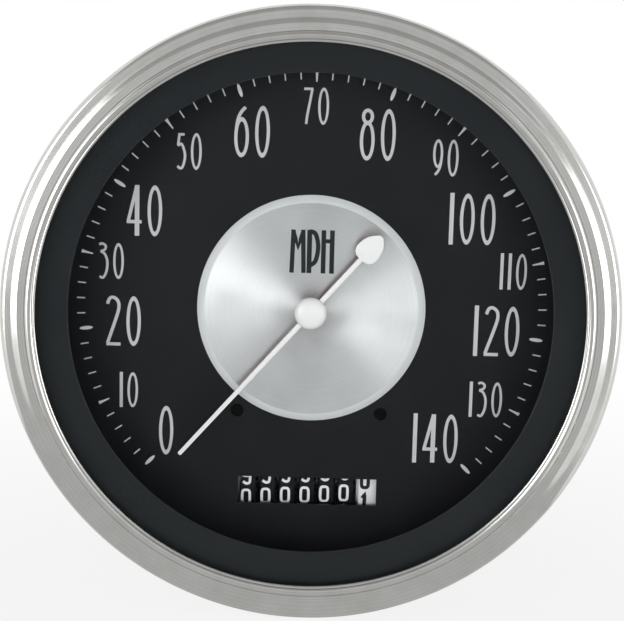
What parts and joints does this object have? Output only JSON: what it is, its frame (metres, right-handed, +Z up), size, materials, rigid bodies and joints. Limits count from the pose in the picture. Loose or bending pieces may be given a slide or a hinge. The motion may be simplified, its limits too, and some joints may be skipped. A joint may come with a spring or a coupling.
{
  "type": "panel speedometer",
  "caption": "Round panel speedometer with a bright bezel, black dial, drum odometer, drag-cup movement, threaded drive-cable neck and rear clamp bracket.",
  "frame": {"origin": "centre of the panel seat, the plane of the bezel's rear rim, on the dial axis", "axes": "+Y out of the back along the dial axis, +Z up on the dial, +X to the driver's right"},
  "size_m": [0.124, 0.103, 0.124],
  "materials": {
    "bright_bezel": "polished and lightly brushed round the ring",
    "clear_glass": "clear flat glass",
    "gasket_rubber": "dull moulded",
    "shroud_black": "satin black paint",
    "case_steel": "dull plated steel",
    "dial_black": "matt black paint",
    "screw_black": "blackened steel",
    "spun_aluminium": "spun, fine turned lines",
    "pointer_white": "smooth white paint",
    "plated_steel": "bright plated steel",
    "brass": "turned brass",
    "cup_aluminium": "thin spun sheet",
    "cast_frame": "die-cast",
    "magnet_dark": "sintered magnet",
    "drum_black": "moulded black",
    "drum_white": "moulded white",
    "bulb_glass": "clear bulb glass"
  },
  "bodies": {
    "housing": {"bezel": "bright_bezel", "lens_glass": "clear_glass", "lens_gasket": "gasket_rubber", "dial_shroud": "shroud_black", "case_can": "case_steel", "dial_plate": "dial_black", "dial_screws": "screw_black", "dial_centre_disc": "spun_aluminium", "hairspring": "brass", "hairspring_stud": "brass", "stop_pins": "plated_steel", "spindle_bush": "brass", "front_bridge": "plated_steel", "bridge_screws": "plated_steel", "dial_posts": "plated_steel", "frame_pillars": "plated_steel", "rear_frame": "cast_frame", "drive_neck": "plated_steel", "frame_screws": "plated_steel", "input_bush": "brass", "odometer_axle": "plated_steel", "pinion_shaft": "plated_steel", "odometer_frame": "plated_steel", "odometer_screws": "plated_steel", "lamp_sockets": "plated_steel", "lamp_bulbs": "bulb_glass", "mounting_studs": "plated_steel"},
    "pointer_body": {"pointer": "pointer_white", "pointer_cap": "pointer_white", "pointer_spindle": "plated_steel", "speed_cup": "cup_aluminium", "stop_arm": "brass", "hairspring_collet": "brass"},
    "input_body": {"input_shaft": "plated_steel", "input_collar": "plated_steel", "magnet": "magnet_dark", "flux_cup": "plated_steel", "spindle_pivot": "brass"},
    "cross_body": {"cross_shaft": "plated_steel", "cross_gear": "brass"},
    "lay_body": {"lay_shaft": "plated_steel", "lay_gear": "brass"},
    "tenth_body": {"drum_tenth": "drum_white", "tenths_gear": "brass"},
    "drum_1_body": {"drum_1": "drum_black"},
    "drum_10_body": {"drum_10": "drum_black"},
    "drum_100_body": {"drum_100": "drum_black"},
    "drum_1000_body": {"drum_1000": "drum_black"},
    "drum_10000_body": {"drum_10000": "drum_black"},
    "drum_100000_body": {"drum_100000": "drum_black"},
    "pinion_1_body": {"pinion_1": "brass"},
    "pinion_2_body": {"pinion_2": "brass"},
    "pinion_3_body": {"pinion_3": "brass"},
    "pinion_4_body": {"pinion_4": "brass"},
    "pinion_5_body": {"pinion_5": "brass"},
    "pinion_6_body": {"pinion_6": "brass"},
    "clamp_body": {"mounting_bracket": "plated_steel", "stud_washers": "plated_steel", "thumb_nuts": "brass"}
  },
  "joints": [
    {"name": "pointer_turn", "type": "hinge", "parent": "housing", "child": "pointer_body", "pos_m": [0, 0, 0], "axis": [0, 1, 0], "range_deg": [0, 274], "stiffness_Nm_per_rad": 0.0001, "springref_deg": -22.92},
    {"name": "input_spin", "type": "hinge", "parent": "housing", "child": "input_body", "pos_m": [0, 0.05882, 0], "axis": [0, 1, 0], "continuous": true},
    {"name": "cross_spin", "type": "hinge", "parent": "housing", "child": "cross_body", "pos_m": [0, 0.05882, -0.0121], "axis": [1, 0, 0], "continuous": true},
    {"name": "lay_spin", "type": "hinge", "parent": "housing", "child": "lay_body", "pos_m": [0.01898, 0.05882, -0.0303], "axis": [0, 1, 0], "continuous": true},
    {"name": "tenth_spin", "type": "hinge", "parent": "housing", "child": "tenth_body", "pos_m": [0.0128, 0.0206, -0.0395], "axis": [1, 0, 0], "continuous": true},
    {"name": "drum_1_spin", "type": "hinge", "parent": "housing", "child": "drum_1_body", "pos_m": [0.0084, 0.0206, -0.0395], "axis": [1, 0, 0], "continuous": true},
    {"name": "pinion_1_spin", "type": "hinge", "parent": "housing", "child": "pinion_1_body", "pos_m": [0.0105, 0.02942, -0.0395], "axis": [1, 0, 0], "continuous": true},
    {"name": "drum_10_spin", "type": "hinge", "parent": "housing", "child": "drum_10_body", "pos_m": [0.0042, 0.0206, -0.0395], "axis": [1, 0, 0], "continuous": true},
    {"name": "pinion_2_spin", "type": "hinge", "parent": "housing", "child": "pinion_2_body", "pos_m": [0.0063, 0.02942, -0.0395], "axis": [1, 0, 0], "continuous": true},
    {"name": "drum_100_spin", "type": "hinge", "parent": "housing", "child": "drum_100_body", "pos_m": [0, 0.0206, -0.0395], "axis": [1, 0, 0], "continuous": true},
    {"name": "pinion_3_spin", "type": "hinge", "parent": "housing", "child": "pinion_3_body", "pos_m": [0.0021, 0.02942, -0.0395], "axis": [1, 0, 0], "continuous": true},
    {"name": "drum_1000_spin", "type": "hinge", "parent": "housing", "child": "drum_1000_body", "pos_m": [-0.0042, 0.0206, -0.0395], "axis": [1, 0, 0], "continuous": true},
    {"name": "pinion_4_spin", "type": "hinge", "parent": "housing", "child": "pinion_4_body", "pos_m": [-0.0021, 0.02942, -0.0395], "axis": [1, 0, 0], "continuous": true},
    {"name": "drum_10000_spin", "type": "hinge", "parent": "housing", "child": "drum_10000_body", "pos_m": [-0.0084, 0.0206, -0.0395], "axis": [1, 0, 0], "continuous": true},
    {"name": "pinion_5_spin", "type": "hinge", "parent": "housing", "child": "pinion_5_body", "pos_m": [-0.0063, 0.02942, -0.0395], "axis": [1, 0, 0], "continuous": true},
    {"name": "drum_100000_spin", "type": "hinge", "parent": "housing", "child": "drum_100000_body", "pos_m": [-0.0126, 0.0206, -0.0395], "axis": [1, 0, 0], "continuous": true},
    {"name": "pinion_6_spin", "type": "hinge", "parent": "housing", "child": "pinion_6_body", "pos_m": [-0.0105, 0.02942, -0.0395], "axis": [1, 0, 0], "continuous": true},
    {"name": "bracket_slide", "type": "slide", "parent": "housing", "child": "clamp_body", "axis": [0, 1, 0], "range_m": [-0.003, 0.011]}
  ],
  "couplings": [
    {"joint": "cross_spin", "follows": "input_spin", "ratio": 0.1},
    {"joint": "lay_spin", "follows": "input_spin", "ratio": -0.01},
    {"joint": "tenth_spin", "follows": "input_spin", "ratio": -0.001},
    {"joint": "drum_1_spin", "follows": "input_spin", "ratio": -0.0001},
    {"joint": "pinion_1_spin", "follows": "input_spin", "ratio": 0.00025},
    {"joint": "drum_10_spin", "follows": "input_spin", "ratio": -0.00001},
    {"joint": "pinion_2_spin", "follows": "input_spin", "ratio": 0.000025},
    {"joint": "drum_100_spin", "follows": "input_spin", "ratio": -0.000001},
    {"joint": "pinion_3_spin", "follows": "input_spin", "ratio": 0.0000025},
    {"joint": "drum_1000_spin", "follows": "input_spin", "ratio": -0.0000001},
    {"joint": "pinion_4_spin", "follows": "input_spin", "ratio": 0.00000025},
    {"joint": "drum_10000_spin", "follows": "input_spin", "ratio": -0.00000001},
    {"joint": "pinion_5_spin", "follows": "input_spin", "ratio": 0.000000025},
    {"joint": "drum_100000_spin", "follows": "input_spin", "ratio": -0.000000001},
    {"joint": "pinion_6_spin", "follows": "input_spin", "ratio": 0.0000000025}
  ]
}
